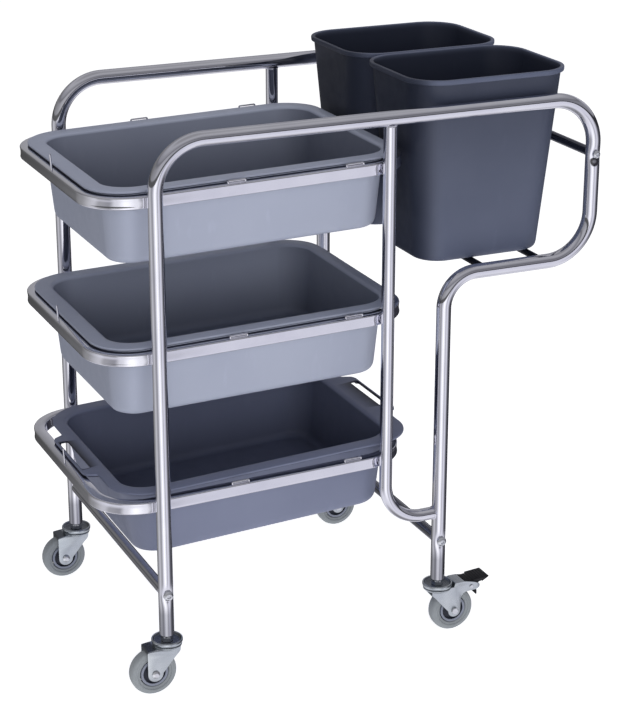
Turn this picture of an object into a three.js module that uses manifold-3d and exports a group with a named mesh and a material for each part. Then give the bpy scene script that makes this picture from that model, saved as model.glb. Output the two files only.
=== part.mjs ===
// Food service trolley: a bent-tube frame on four swivel casters, with three lift-out tubs on
// ring-shaped rails and two lift-out bins in the loop at one end.
// Millimetres. +X runs from the tub end to the bin end, +Y from the near side to the far side,
// +Z up. The origin is on the floor, at the middle of the bounding box.

import * as THREE from 'three';
import { mergeVertices } from 'three/addons/utils/BufferGeometryUtils.js';
import Module from 'manifold-3d';

const wasm = await Module();
wasm.setup();

// ---------------------------------------------------------------- driving dimensions

const GAP = 0.3;                     // between solids that touch on the real trolley

const LENGTH = 895;                  // left end of the tub rails to the outside of the bin loop
const FRAME_R = 12.5;                // main tube, outer radius
const FRAME_INNER_R = 11;
const POST_R = 11;                   // middle post, outer radius
const POST_INNER_R = 9.6;
const FRAME_Y = 242.5;               // side frame centre plane, either side of the middle
const POST_Y = FRAME_Y - FRAME_R + POST_R + 0.2;

const LEFT_LEG_X = -LENGTH / 2 + 96.5;
const RIGHT_LEG_X = LEFT_LEG_X + 508;
const POST_X = LEFT_LEG_X + 404;
const LOOP_X = LENGTH / 2 - FRAME_R;

const LEG_END_Z = 102;
const RAIL_Z = 940;                  // top rail centre line
const LOOP_Z = 662;                  // bottom of the bin loop, centre line
const POST_FOOT_Z = 230;
const CROSS_LOW_Z = 178;
const CROSS_HIGH_Z = 843;

const BEND_R = 80;                   // large bends, on the centre line
const LEG_BEND_R = 57.5;             // bend from the bin loop into the right leg
const POST_BEND_R = 70;
const BEND_STEPS = 4;

const CROSS_LOW_R = 9.5;
const CROSS_HIGH_R = 8;
const CROSS_WALL = 1.5;
const CROSS_PLUG = 20;               // length of the tapped plug in each cross tube end

const RING_HALF = 10;                // half the side of the square tub rail tube
const RING_INNER_HALF = 8.5;
const RING_EDGE_R = 2;               // rounded edges of the square tube
const RING_Y = FRAME_Y - FRAME_R - RING_HALF - GAP;
const RING_HALF_LENGTH = 270.5;
const RING_X = -LENGTH / 2 + RING_HALF + RING_HALF_LENGTH;
const RING_CORNER_R = 76;
const RING_LEVELS = { bottom: 334, middle: 591, top: 849 };
const RING_TILT = 1.3 * Math.PI / 180;      // the rails rise a little towards the bin end

const STOP_WIRE_R = 1.5;             // wire loops that keep a tub from sliding off its rail
const STOP_WIDTH = 33;
const STOP_HEIGHT = 6.5;
const STOP_Y = RING_Y + 7;
const STOP_CENTRES_X = [LEFT_LEG_X + 143, LEFT_LEG_X + 349];
const END_PIN_HEIGHT = 28;           // wire finger on the left end of each rail
const END_PIN_Y = -12;
const END_PIN_X = -RING_HALF_LENGTH - 7;

const TUB_DEPTH = 132;
const TUB_LIP = 6;
const TUB_WALL = 3;

// Plain tub, and the tub with a hand hole in each end. The outlines are centred on x.
const PLAIN_TUB = {
  x: 1.5,
  rim: { x: 0, hx: 269, hy: 214, r: 72 },
  mouth: { x: 5, hx: 246, hy: 186, r: 50 },
  base: { x: 3, hx: 237, hy: 172, r: 44 },
  handle: 0,
};
const HANDLED_TUB = {
  x: 25,
  rim: { x: 0, hx: 271, hy: 214, r: 72 },
  mouth: { x: -7, hx: 243, hy: 185, r: 50 },
  base: { x: -5, hx: 226, hy: 170, r: 46 },
  handle: 21,                        // the flange's bulge beyond the rim at each end
};
const HANDLE_HALF = 84;              // half width of the bulge
const HANDLE_TAPER = 12;
const HAND_HOLE = { depth: 16, width: 128, edge: 4 };
const BOTTOM_TUB_TILT = 1.3 * Math.PI / 180;    // it leans up towards the bin end on its rail

const BIN_X = LEFT_LEG_X + 606;
const BIN_Y = 119.5;
const BIN_RIM_Z = 990;
const BIN_WALL = 2.6;
const BIN_RIM = { hx: 148, hy: 117.5, r: 62 };
const BIN_MOUTH = { hx: 143.5, hy: 112.5, r: 58 };
const BIN_BASE = { hx: 117, hy: 85, r: 46 };
const BIN_BEAD = 7;                  // height of the rolled rim

const BAR_R = 6;                     // bars that the bins stand on
const BAR_Z = 666;
const BAR_CENTRES_X = { left: LEFT_LEG_X + 583, right: LEFT_LEG_X + 692 };

const BOLT_R = 4;
const BOLT_HOLE_R = 4.4;
const BOLT_LENGTH = 40;

const WHEEL_R = 40;
const WHEEL_WIDTH = 24;
const HUB_R = 24;
const AXLE_R = 4;
const TRAIL = 27;                    // wheel axle behind the swivel axis
const FORK_INSIDE = 14.2;            // fork cheek, inner face from the wheel's middle plane
const FORK_SHEET = 2.4;
const FORK_TOP_Z = 87;
const HOUSING_TOP_Z = 93.5;           // raised plate beside the brake lever
const KINGPIN_R = 4.7;
const PEDAL_PIVOT = { x: 60, z: 81 };
const PEDAL_HALF = 18;               // half the width of the tread beyond the fork

// ---------------------------------------------------------------- materials

const look = (color, roughness, metalness) => () =>
  new THREE.MeshStandardMaterial({ color, roughness, metalness });

const chrome = look(0xd8d8e0, 0.12, 1.0);
const zinc = look(0xa9b0b6, 0.35, 0.9);
const steelBar = look(0x3a3c42, 0.4, 0.8);
const greyPlastic = look(0xa3a8bd, 0.45, 0.0);
const slatePlastic = look(0x6d7492, 0.45, 0.0);
const binPlastic = look(0x5c627d, 0.5, 0.0);
const greyRubber = look(0x9ba0a3, 0.7, 0.0);
const hubPlastic = look(0x5e6472, 0.5, 0.0);
const blackPlastic = look(0x17181a, 0.5, 0.0);

// ---------------------------------------------------------------- geometry helpers

function weld(geometry) {
  const bare = geometry.clone();
  bare.deleteAttribute('normal');
  bare.deleteAttribute('uv');
  return mergeVertices(bare, 1e-4);
}

function toSolid(geometry) {
  const welded = weld(geometry);
  return new wasm.Manifold(new wasm.Mesh({
    numProp: 3,
    vertProperties: new Float32Array(welded.attributes.position.array),
    triVerts: new Uint32Array(welded.index.array),
  }));
}

function toGeometry(solid) {
  const mesh = solid.getMesh();
  const geometry = new THREE.BufferGeometry();
  geometry.setAttribute('position', new THREE.Float32BufferAttribute(mesh.vertProperties, 3));
  geometry.setIndex(Array.from(mesh.triVerts));
  return geometry;
}

function join(...geometries) {
  return toGeometry(geometries.map(toSolid).reduce((sum, next) => sum.add(next)));
}

function cut(body, ...tools) {
  return toGeometry(tools.map(toSolid).reduce((rest, tool) => rest.subtract(tool), toSolid(body)));
}

// A polygon of a circle, for tube sections.
function circlePoints(radius, sides) {
  const points = [];
  for (let i = 0; i < sides; i++) {
    const angle = 2 * Math.PI * i / sides;
    points.push(new THREE.Vector2(radius * Math.cos(angle), radius * Math.sin(angle)));
  }
  return points;
}

// A path of straight runs and arcs, stepped only where it bends.
class BentPath extends THREE.Curve {
  constructor(stations) {
    super();
    this.stations = stations;
  }

  get steps() {
    return this.stations.length - 1;
  }

  getPointAt(u) {
    return this.stations[Math.round(u * this.steps)].point.clone();
  }

  getTangentAt(u) {
    return this.stations[Math.round(u * this.steps)].tangent.clone();
  }
}

// Corners are given in order; each inner one is rounded with its own radius.
function bentPath(corners, bendSteps = BEND_STEPS) {
  const stations = [];
  const at = (i) => corners[i].point;
  const heading = (i) => at(i + 1).clone().sub(at(i)).normalize();
  stations.push({ point: at(0), tangent: heading(0) });
  for (let i = 1; i < corners.length - 1; i++) {
    const into = heading(i - 1);
    const out = heading(i);
    const turn = into.angleTo(out);
    const setback = corners[i].radius * Math.tan(turn / 2);
    const start = at(i).clone().addScaledVector(into, -setback);
    const side = out.clone().addScaledVector(into, -into.dot(out)).normalize();
    const centre = start.clone().addScaledVector(side, corners[i].radius);
    for (let k = 0; k <= bendSteps; k++) {
      const angle = turn * k / bendSteps;
      const point = centre.clone()
        .addScaledVector(into, corners[i].radius * Math.sin(angle))
        .addScaledVector(side, -corners[i].radius * Math.cos(angle));
      const tangent = into.clone().multiplyScalar(Math.cos(angle))
        .addScaledVector(side, Math.sin(angle));
      stations.push({ point, tangent });
    }
  }
  const last = corners.length - 1;
  stations.push({ point: at(last), tangent: heading(last - 1) });
  return new BentPath(stations);
}

function tubeAlong(path, radius, innerRadius = 0, sides = 12, innerSides = 8) {
  const section = new THREE.Shape(circlePoints(radius, sides));
  if (innerRadius > 0) {
    section.holes.push(new THREE.Path(circlePoints(innerRadius, innerSides)));
  }
  return new THREE.ExtrudeGeometry(section, { steps: path.steps, extrudePath: path });
}

// A cylinder along Y, centred on (x, z), from y0 to y1.
function rodAlongY(radius, x, z, y0, y1, sides = 12) {
  const rod = new THREE.CylinderGeometry(radius, radius, Math.abs(y1 - y0), sides);
  return rod.translate(x, (y0 + y1) / 2, z);
}

// A solid turned about +Z from [radius, height] pairs.
function turned(profile, segments) {
  const points = profile.map(([radius, height]) => new THREE.Vector2(radius, height));
  return new THREE.LatheGeometry(points, segments).rotateX(Math.PI / 2);
}

// One horizontal outline: a rectangle of half sizes hx and hy with round corners, centred on x.
// A bulge steps both ends outward over the middle part of their width.
function roundedOutline({ x = 0, hx, hy, r }, z, cornerSteps, bulge = null) {
  const outline = [];
  for (let corner = 0; corner < 4; corner++) {
    const signX = corner === 0 || corner === 3 ? 1 : -1;
    const signY = corner < 2 ? 1 : -1;
    for (let k = 0; k <= cornerSteps; k++) {
      const angle = (corner + k / cornerSteps) * Math.PI / 2;
      outline.push([
        x + signX * (hx - r) + r * Math.cos(angle),
        signY * (hy - r) + r * Math.sin(angle),
        z,
      ]);
    }
    if (bulge && corner % 2 === 1) {
      const { out, half, taper } = bulge;
      for (const [y, extra] of [[half + taper, 0], [half, out], [-half, out], [-half - taper, 0]]) {
        outline.push([x + signX * (hx + extra), -signX * y, z]);
      }
    }
  }
  return outline;
}

// Skins a stack of outlines that all have the same number of points. A ring closes on its first
// outline; otherwise the first and last outlines are capped flat.
function skin(outlines, ring = false) {
  const count = outlines[0].length;
  const positions = outlines.flat(2);
  const index = [];
  const bands = ring ? outlines.length : outlines.length - 1;
  for (let band = 0; band < bands; band++) {
    const lower = band * count;
    const upper = ((band + 1) % outlines.length) * count;
    for (let i = 0; i < count; i++) {
      const j = (i + 1) % count;
      index.push(lower + i, lower + j, upper + j, lower + i, upper + j, upper + i);
    }
  }
  if (!ring) {
    const top = (outlines.length - 1) * count;
    const apex = 2;                  // on a round corner, so that no cap triangle is flat
    for (let i = 1; i < count - 1; i++) {
      const a = (apex + i) % count;
      const b = (apex + i + 1) % count;
      index.push(apex, b, a, top + apex, top + a, top + b);
    }
  }
  const geometry = new THREE.BufferGeometry();
  geometry.setAttribute('position', new THREE.Float32BufferAttribute(positions, 3));
  geometry.setIndex(index);
  return geometry;
}

const grow = ({ x = 0, hx, hy, r }, by) => ({ x, hx: hx + by, hy: hy + by, r: r + by });

const between = (low, high, t) => ({
  hx: low.hx + (high.hx - low.hx) * t,
  hy: low.hy + (high.hy - low.hy) * t,
  r: low.r + (high.r - low.r) * t,
});

// ---------------------------------------------------------------- frame

function framePath(y) {
  const corner = (x, z, radius = 0) => ({ point: new THREE.Vector3(x, y, z), radius });
  return bentPath([
    corner(LEFT_LEG_X, LEG_END_Z),
    corner(LEFT_LEG_X, RAIL_Z, BEND_R),
    corner(LOOP_X, RAIL_Z, BEND_R),
    corner(LOOP_X, LOOP_Z, BEND_R),
    corner(RIGHT_LEG_X, LOOP_Z, LEG_BEND_R),
    corner(RIGHT_LEG_X, LEG_END_Z),
  ]);
}

function boltHole(x, z, y) {
  return rodAlongY(BOLT_HOLE_R, x, z, y - FRAME_R - 1, y + FRAME_R + 1, 10);
}

function sideFrame(y) {
  return cut(
    tubeAlong(framePath(y), FRAME_R, FRAME_INNER_R),
    boltHole(LEFT_LEG_X, CROSS_LOW_Z, y),
    boltHole(RIGHT_LEG_X, CROSS_LOW_Z, y),
    boltHole(LOOP_X, CROSS_HIGH_Z, y),
  );
}

// The post is notched to fit against the rail above it and the leg beside its foot.
function post(side) {
  const y = side * POST_Y;
  const path = bentPath([
    { point: new THREE.Vector3(POST_X, y, RAIL_Z) },
    { point: new THREE.Vector3(POST_X, y, POST_FOOT_Z), radius: POST_BEND_R },
    { point: new THREE.Vector3(RIGHT_LEG_X, y, POST_FOOT_Z) },
  ]);
  const clearance = tubeAlong(framePath(side * FRAME_Y), FRAME_R + GAP);
  return cut(tubeAlong(path, POST_R, POST_INNER_R), clearance);
}

// A tube between the two side frames, with a tapped plug in each end.
function crossTube(radius) {
  const half = FRAME_Y - FRAME_R - GAP;
  const bore = radius - CROSS_WALL;
  const plugEnd = half - CROSS_PLUG;
  return turned([
    [BOLT_HOLE_R, -half], [radius, -half], [radius, half], [BOLT_HOLE_R, half],
    [BOLT_HOLE_R, plugEnd], [bore, plugEnd], [bore, -plugEnd], [BOLT_HOLE_R, -plugEnd],
    [BOLT_HOLE_R, -half],
  ], 12).rotateX(Math.PI / 2);
}

function domeBolt(headR) {
  const seat = GAP;
  const dome = headR * 0.5;
  return turned([
    [0, seat + dome], [headR * 0.55, seat + dome * 0.85], [headR, seat + 1], [headR, seat],
    [BOLT_R, seat], [BOLT_R, -BOLT_LENGTH], [0, -BOLT_LENGTH],
  ].reverse(), 12);
}

// ---------------------------------------------------------------- tub rails

function ringSkin(half, edgeR, edgeSteps) {
  const base = { hx: RING_HALF_LENGTH, hy: RING_Y, r: RING_CORNER_R };
  const outlines = [];
  for (let corner = 0; corner < 4; corner++) {
    const outward = corner === 0 || corner === 3 ? 1 : -1;
    const upward = corner < 2 ? 1 : -1;
    for (let k = 0; k <= edgeSteps; k++) {
      const angle = (corner + (edgeSteps > 0 ? k / edgeSteps : 0.5)) * Math.PI / 2;
      const out = outward * (half - edgeR) + edgeR * Math.cos(angle);
      const up = upward * (half - edgeR) + edgeR * Math.sin(angle);
      outlines.push(roundedOutline(grow(base, out), up, 4));
    }
  }
  return skin(outlines, true);
}

// A wire bent into an upright loop, standing on the top of the rail.
function stopLoop(x, y) {
  const corner = (dx, z, radius = 0) => ({ point: new THREE.Vector3(x + dx, y, z), radius });
  const half = STOP_WIDTH / 2 - STOP_WIRE_R;
  const top = RING_HALF + STOP_HEIGHT - STOP_WIRE_R;
  const foot = RING_HALF - 1;
  const path = bentPath([
    corner(-half, foot), corner(-half, top, 3), corner(half, top, 3), corner(half, foot),
  ], 2);
  return tubeAlong(path, STOP_WIRE_R, 0, 5);
}

// A wire finger that stands on the left end of the rail and stops the tub there.
function endPin() {
  const length = END_PIN_HEIGHT + 1;
  return new THREE.CylinderGeometry(STOP_WIRE_R, STOP_WIRE_R, length, 6)
    .rotateX(Math.PI / 2)
    .translate(END_PIN_X, END_PIN_Y, RING_HALF - 1 + length / 2);
}

// The tube is hollow, vented by one small hole on the underside.
function tubRail() {
  const vent = new THREE.CylinderGeometry(2, 2, RING_HALF, 8)
    .rotateX(Math.PI / 2)
    .translate(0, RING_Y, -RING_HALF);
  const tube = cut(ringSkin(RING_HALF, RING_EDGE_R, 2), ringSkin(RING_INNER_HALF, 0, 0), vent);
  const stops = [endPin()];
  for (const x of STOP_CENTRES_X) {
    stops.push(stopLoop(x - RING_X, STOP_Y), stopLoop(x - RING_X, -STOP_Y));
  }
  return join(tube, ...stops);
}

// ---------------------------------------------------------------- tubs and bins

// A drafted tub with a flat flange and a turned-down lip; its mouth is at z = 0.
function tub({ rim, mouth, base, handle }) {
  const steps = 4;
  const floor = -TUB_DEPTH;
  const under = -TUB_WALL;
  const ended = (out, inset) => handle && {
    out,
    half: HANDLE_HALF - inset,
    taper: HANDLE_TAPER,
  };
  const plain = ended(0, 0);
  const outer = ended(handle, 0);
  const inner = ended(handle, TUB_WALL);
  const body = skin([
    roundedOutline(grow(base, -10), floor, steps, plain),
    roundedOutline(grow(base, -2), floor + 3, steps, plain),
    roundedOutline(base, floor + 12, steps, plain),
    roundedOutline(mouth, under, steps, plain),
    roundedOutline(grow(rim, -TUB_WALL), under, steps, inner),
    roundedOutline(grow(rim, -TUB_WALL), -TUB_LIP, steps, inner),
    roundedOutline(rim, -TUB_LIP, steps, outer),
    roundedOutline(rim, -1.5, steps, outer),
    roundedOutline(grow(rim, -1.5), 0, steps, outer),
    roundedOutline(grow(mouth, -TUB_WALL + 2), 0, steps, plain),
    roundedOutline(grow(mouth, -TUB_WALL), -2, steps, plain),
    roundedOutline(grow(base, -TUB_WALL), floor + 12, steps, plain),
    roundedOutline(grow(base, -TUB_WALL - 8), floor + TUB_WALL, steps, plain),
  ]);
  if (!handle) {
    return body;
  }
  const holes = [];
  for (const end of [-1, 1]) {
    const outside = rim.hx + handle - HAND_HOLE.edge;
    holes.push(new THREE.BoxGeometry(HAND_HOLE.depth, HAND_HOLE.width, 4 * TUB_WALL)
      .translate(end * (outside - HAND_HOLE.depth / 2), 0, 0));
  }
  return cut(body, ...holes);
}

// A tall drafted bin with a rolled rim; it stands on z = 0.
function bin() {
  const steps = 4;
  const height = BIN_RIM_Z - BAR_Z - BAR_R - GAP;
  const bead = height - BIN_BEAD;
  const mouthUnder = between(BIN_BASE, BIN_MOUTH, bead / height);
  return skin([
    roundedOutline(grow(BIN_BASE, -8), 0, steps),
    roundedOutline(grow(BIN_BASE, -1.5), 3, steps),
    roundedOutline(BIN_BASE, 10, steps),
    roundedOutline(mouthUnder, bead, steps),
    roundedOutline(grow(BIN_RIM, -1), bead, steps),
    roundedOutline(BIN_RIM, bead + 2, steps),
    roundedOutline(BIN_RIM, height - 2, steps),
    roundedOutline(grow(BIN_RIM, -2), height, steps),
    roundedOutline(grow(BIN_MOUTH, -BIN_WALL), height, steps),
    roundedOutline(grow(mouthUnder, -BIN_WALL), bead, steps),
    roundedOutline(grow(BIN_BASE, -BIN_WALL), 10, steps),
    roundedOutline(grow(BIN_BASE, -BIN_WALL - 7), BIN_WALL, steps),
  ]);
}

// ---------------------------------------------------------------- casters
// Each is drawn about its swivel axis, on the floor, with the wheel trailing towards +X.

function stem() {
  const sleeveR = FRAME_INNER_R - 1;
  return turned([
    [0, LEG_END_Z - 6], [FRAME_R - 2, LEG_END_Z - 6], [FRAME_R - 2, LEG_END_Z - GAP],
    [sleeveR, LEG_END_Z - GAP], [sleeveR, LEG_END_Z + 34], [0, LEG_END_Z + 34],
  ], 12);
}

// Dished upper race with the kingpin, which is riveted over under the fork.
function swivelRace() {
  const seat = FORK_TOP_Z + GAP;
  const rivetTop = FORK_TOP_Z - 5 - GAP;
  return turned([
    [0, rivetTop - 3], [7.5, rivetTop - 3], [7.5, rivetTop], [KINGPIN_R, rivetTop],
    [KINGPIN_R, seat], [25.5, seat], [26.5, seat + 2], [26.5, seat + 8], [24, seat + 9],
    [21.5, seat + 4], [0, seat + 4],
  ], 12);
}

function cheekOutline(braked) {
  const foot = braked ? 12 : 13.5;
  const outline = new THREE.Shape();
  outline.moveTo(-18, FORK_TOP_Z - 1);
  outline.lineTo(-18, FORK_TOP_Z - 10);
  outline.lineTo(TRAIL - foot, WHEEL_R + 1);
  for (let k = 1; k < 6; k++) {
    const angle = Math.PI * (1 + k / 6);
    outline.lineTo(TRAIL + foot * Math.cos(angle), WHEEL_R + foot * Math.sin(angle));
  }
  outline.lineTo(TRAIL + foot, WHEEL_R + 1);
  if (braked) {
    outline.lineTo(TRAIL + foot + 1, 67);
    outline.lineTo(47, 73);
    outline.lineTo(71, 73.5);
    outline.lineTo(77, 77.5);
    outline.lineTo(76.5, 83);
    outline.lineTo(68, 88.5);
    outline.lineTo(46, HOUSING_TOP_Z);
    outline.lineTo(28, HOUSING_TOP_Z);
    outline.lineTo(25.5, FORK_TOP_Z - 1);
  } else {
    outline.lineTo(TRAIL + foot, FORK_TOP_Z - 5);
    outline.lineTo(22, FORK_TOP_Z - 1);
  }
  outline.closePath();
  return outline;
}

function cheek(braked, side) {
  const sheet = new THREE.ExtrudeGeometry(cheekOutline(braked), {
    depth: FORK_SHEET, bevelEnabled: false,
  });
  sheet.rotateX(Math.PI / 2);
  return sheet.translate(0, side > 0 ? FORK_INSIDE + FORK_SHEET : -FORK_INSIDE, 0);
}

function fork(braked) {
  const plateBottom = FORK_TOP_Z - 5;
  const outside = FORK_INSIDE + FORK_SHEET;
  const crown = turned([
    [0, plateBottom], [22.5, plateBottom], [25, plateBottom + 2], [25, FORK_TOP_Z],
    [0, FORK_TOP_Z],
  ], 12);
  const block = (x0, x1, z0, z1) => new THREE.BoxGeometry(x1 - x0, 2 * outside, z1 - z0)
    .translate((x0 + x1) / 2, 0, (z0 + z1) / 2);
  const plates = braked
    ? [block(-14, 20, FORK_TOP_Z - 4, FORK_TOP_Z - 1), block(28, 46, HOUSING_TOP_Z - 3, HOUSING_TOP_Z)]
    : [block(-14, 34, FORK_TOP_Z - 4, FORK_TOP_Z - 1.5), block(33, 40.5, FORK_TOP_Z - 5.5, FORK_TOP_Z - 2.5),
      block(38.6, 40.5, FORK_TOP_Z - 7.7, FORK_TOP_Z - 3)];
  const body = join(crown, ...plates, cheek(braked, 1), cheek(braked, -1));
  const kingpinHole = new THREE.CylinderGeometry(KINGPIN_R + 0.5, KINGPIN_R + 0.5, 20, 12)
    .rotateX(Math.PI / 2)
    .translate(0, 0, FORK_TOP_Z - 3);
  const holes = [kingpinHole, rodAlongY(AXLE_R + GAP, TRAIL, WHEEL_R, -30, 30)];
  if (braked) {
    holes.push(rodAlongY(2.5 + GAP, PEDAL_PIVOT.x, PEDAL_PIVOT.z, -30, 30, 10));
  }
  return cut(body, ...holes);
}

// A bolt across the fork, with a low head on one cheek and a nut on the other.
function crossPin(radius, headR, headHeight) {
  const reach = FORK_INSIDE + FORK_SHEET + GAP;
  return turned([
    [0, -reach - headHeight], [headR * 0.7, -reach - headHeight], [headR, -reach - 1],
    [headR, -reach], [radius, -reach], [radius, reach], [headR, reach],
    [headR, reach + headHeight], [0, reach + headHeight],
  ], 12).rotateX(Math.PI / 2);
}

function hub() {
  const half = WHEEL_WIDTH / 2 - 1.5;
  const bore = AXLE_R + 0.4;
  return turned([
    [bore, -half - 2], [9, -half - 2], [9, -half + 5], [HUB_R - 4, -half + 5],
    [HUB_R - 4, -half], [HUB_R, -half], [HUB_R, half], [HUB_R - 4, half],
    [HUB_R - 4, half - 5], [9, half - 5], [9, half + 2], [bore, half + 2], [bore, -half - 2],
  ], 12).rotateX(Math.PI / 2);
}

function tyre() {
  const half = WHEEL_WIDTH / 2;
  const seat = HUB_R + 1;
  return turned([
    [seat, -half + 2], [WHEEL_R - 7, -half], [WHEEL_R - 2, -half + 4], [WHEEL_R, 0],
    [WHEEL_R - 2, half - 4], [WHEEL_R - 7, half], [seat, half - 2], [seat, -half + 2],
  ], 16).rotateX(Math.PI / 2);
}

// Brake lever: a tread that rises to its tip, wider beyond the fork, a boss round the pin and
// a shoe under it. The outlines are seen from the side.
function brakePedal() {
  const inside = FORK_INSIDE - 1;
  const { x, z } = PEDAL_PIVOT;
  const plate = (half, ...points) => {
    const outline = new THREE.Shape(points.map(([px, pz]) => new THREE.Vector2(px, pz)));
    return new THREE.ExtrudeGeometry(outline, { depth: 2 * half, bevelEnabled: false })
      .rotateX(Math.PI / 2)
      .translate(0, half, 0);
  };
  const lever = plate(inside, [x - 12, z + 12], [x - 10, z + 8], [x - 7, z - 2], [x - 1, z - 6],
    [x + 6, z - 8], [x + 8, z - 15], [x + 12.5, z - 20.5], [x + 13.5, z - 14], [x + 11, z - 3],
    [x + 17, z + 4.5], [x + 26, z + 7.5], [x + 26, z + 14.4]);
  const tip = plate(PEDAL_HALF, [x + 20, z + 5.5], [x + 34, z + 14], [x + 34, z + 15], [x + 20, z + 14]);
  return cut(join(lever, tip), rodAlongY(2.9, x, z, -30, 30, 10));
}

// ---------------------------------------------------------------- assembly

const trolley = new THREE.Group();

function add(parent, name, geometry, material, position = [0, 0, 0]) {
  const welded = weld(geometry);
  welded.computeVertexNormals();
  const mesh = new THREE.Mesh(welded, material());
  mesh.name = name;
  mesh.position.set(...position);
  parent.add(mesh);
  return mesh;
}

const SIDES = { near: -1, far: 1 };

for (const [side, sign] of Object.entries(SIDES)) {
  add(trolley, `side_frame_${side}`, sideFrame(sign * FRAME_Y), chrome);
  add(trolley, `post_${side}`, post(sign), chrome);
}

const CROSS_TUBES = {
  lower_left: { x: LEFT_LEG_X, z: CROSS_LOW_Z, radius: CROSS_LOW_R, headR: 8.5 },
  lower_right: { x: RIGHT_LEG_X, z: CROSS_LOW_Z, radius: CROSS_LOW_R, headR: 8.5 },
  upper: { x: LOOP_X, z: CROSS_HIGH_Z, radius: CROSS_HIGH_R, headR: 6.5 },
};

for (const [place, { x, z, radius, headR }] of Object.entries(CROSS_TUBES)) {
  add(trolley, `cross_tube_${place}`, crossTube(radius), chrome, [x, 0, z]);
  for (const [side, sign] of Object.entries(SIDES)) {
    const seatY = sign * (FRAME_Y + FRAME_R);
    const bolt = add(trolley, `bolt_${place}_${side}`, domeBolt(headR), zinc, [x, seatY, z]);
    bolt.rotation.x = -sign * Math.PI / 2;
  }
}

for (const [place, x] of Object.entries(BAR_CENTRES_X)) {
  const reach = FRAME_Y - FRAME_R - GAP;
  const bar = rodAlongY(BAR_R, 0, 0, -reach, reach);
  add(trolley, `bin_bar_${place}`, bar, steelBar, [x, 0, BAR_Z]);
}

for (const [level, z] of Object.entries(RING_LEVELS)) {
  const shelf = new THREE.Group();
  shelf.position.set(RING_X, 0, z);
  shelf.rotation.y = -RING_TILT;
  add(shelf, `tub_rail_${level}`, tubRail(), chrome);
  const handled = level === 'bottom';
  const shape = handled ? HANDLED_TUB : PLAIN_TUB;
  const leftEnd = shape.x - shape.rim.hx - shape.handle;
  const seat = new THREE.Group();
  seat.position.set(leftEnd, 0, RING_HALF + GAP);
  seat.rotation.y = handled ? -BOTTOM_TUB_TILT : 0;
  const plastic = handled ? slatePlastic : greyPlastic;
  add(seat, `tub_${level}`, tub(shape), plastic, [shape.x - leftEnd, 0, TUB_LIP]);
  shelf.add(seat);
  trolley.add(shelf);
}

for (const [side, sign] of Object.entries(SIDES)) {
  const standZ = BAR_Z + BAR_R + GAP;
  add(trolley, `bin_${side}`, bin(), binPlastic, [BIN_X, sign * BIN_Y, standZ]);
}

function caster(name, x, y, facing, braked) {
  const group = new THREE.Group();
  group.position.set(x, y, 0);
  group.rotation.z = facing < 0 ? Math.PI : 0;
  add(group, `stem_${name}`, stem(), zinc);
  add(group, `swivel_race_${name}`, swivelRace(), zinc);
  add(group, `fork_${name}`, fork(braked), zinc);
  add(group, `axle_${name}`, crossPin(AXLE_R, 7, 3.5), zinc, [TRAIL, 0, WHEEL_R]);
  add(group, `hub_${name}`, hub(), hubPlastic, [TRAIL, 0, WHEEL_R]);
  add(group, `tyre_${name}`, tyre(), greyRubber, [TRAIL, 0, WHEEL_R]);
  if (braked) {
    const { x: pinX, z: pinZ } = PEDAL_PIVOT;
    add(group, `brake_pedal_${name}`, brakePedal(), blackPlastic);
    add(group, `brake_pin_${name}`, crossPin(2.5, 4, 1.5), zinc, [pinX, 0, pinZ]);
  }
  trolley.add(group);
}

for (const [side, sign] of Object.entries(SIDES)) {
  caster(`left_${side}`, LEFT_LEG_X, sign * FRAME_Y, -1, false);
  caster(`right_${side}`, RIGHT_LEG_X, sign * FRAME_Y, 1, true);
}

export default trolley;
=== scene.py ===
import math

import bmesh
import bpy
from mathutils import Matrix, Vector


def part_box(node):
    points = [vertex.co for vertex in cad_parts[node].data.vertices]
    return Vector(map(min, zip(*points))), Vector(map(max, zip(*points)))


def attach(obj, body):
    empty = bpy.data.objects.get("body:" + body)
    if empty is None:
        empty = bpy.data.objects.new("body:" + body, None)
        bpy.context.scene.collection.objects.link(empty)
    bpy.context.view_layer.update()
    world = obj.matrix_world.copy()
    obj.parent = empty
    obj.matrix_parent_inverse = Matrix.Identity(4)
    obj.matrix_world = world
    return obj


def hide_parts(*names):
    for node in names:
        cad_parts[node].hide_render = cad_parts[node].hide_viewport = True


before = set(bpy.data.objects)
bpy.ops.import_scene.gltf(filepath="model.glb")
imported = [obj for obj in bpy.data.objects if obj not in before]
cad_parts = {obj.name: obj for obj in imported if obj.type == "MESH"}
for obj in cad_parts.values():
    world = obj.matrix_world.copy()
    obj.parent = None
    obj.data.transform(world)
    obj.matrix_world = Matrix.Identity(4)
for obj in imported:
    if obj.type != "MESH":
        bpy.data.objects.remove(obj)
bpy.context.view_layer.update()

MM = 0.001

# ------------------------------------------------------------------ places, from the CAD boxes (mm)


def box_mm(node):
    low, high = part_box(node)
    return low / MM, high / MM


def middle(node):
    low, high = box_mm(node)
    return (low + high) / 2


LEFT_X = middle("stem_left_near").x
RIGHT_X = middle("stem_right_near").x
FRAME_Y = middle("stem_left_far").y
LEG_END_Z = box_mm("side_frame_near")[0].z

FRAME_R = 12.5
POST_R = 11.0
LOOP_X = box_mm("side_frame_near")[1].x - FRAME_R
RAIL_Z = box_mm("side_frame_near")[1].z - FRAME_R
POST_X = box_mm("post_near")[0].x + POST_R
POST_Y = middle("post_far").y
POST_FOOT_Z = box_mm("post_near")[0].z + POST_R
BAR_Z = middle("bin_bar_left").z
LOOP_Z = BAR_Z - 4.0                # the bin bars lie a little above the loop's lower run
BEND_R = 80.0
LEG_BEND_R = 57.5
POST_BEND_R = 70.0

CROSS_LOW_Z = middle("cross_tube_lower_left").z
CROSS_HIGH_Z = middle("cross_tube_upper").z

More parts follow.
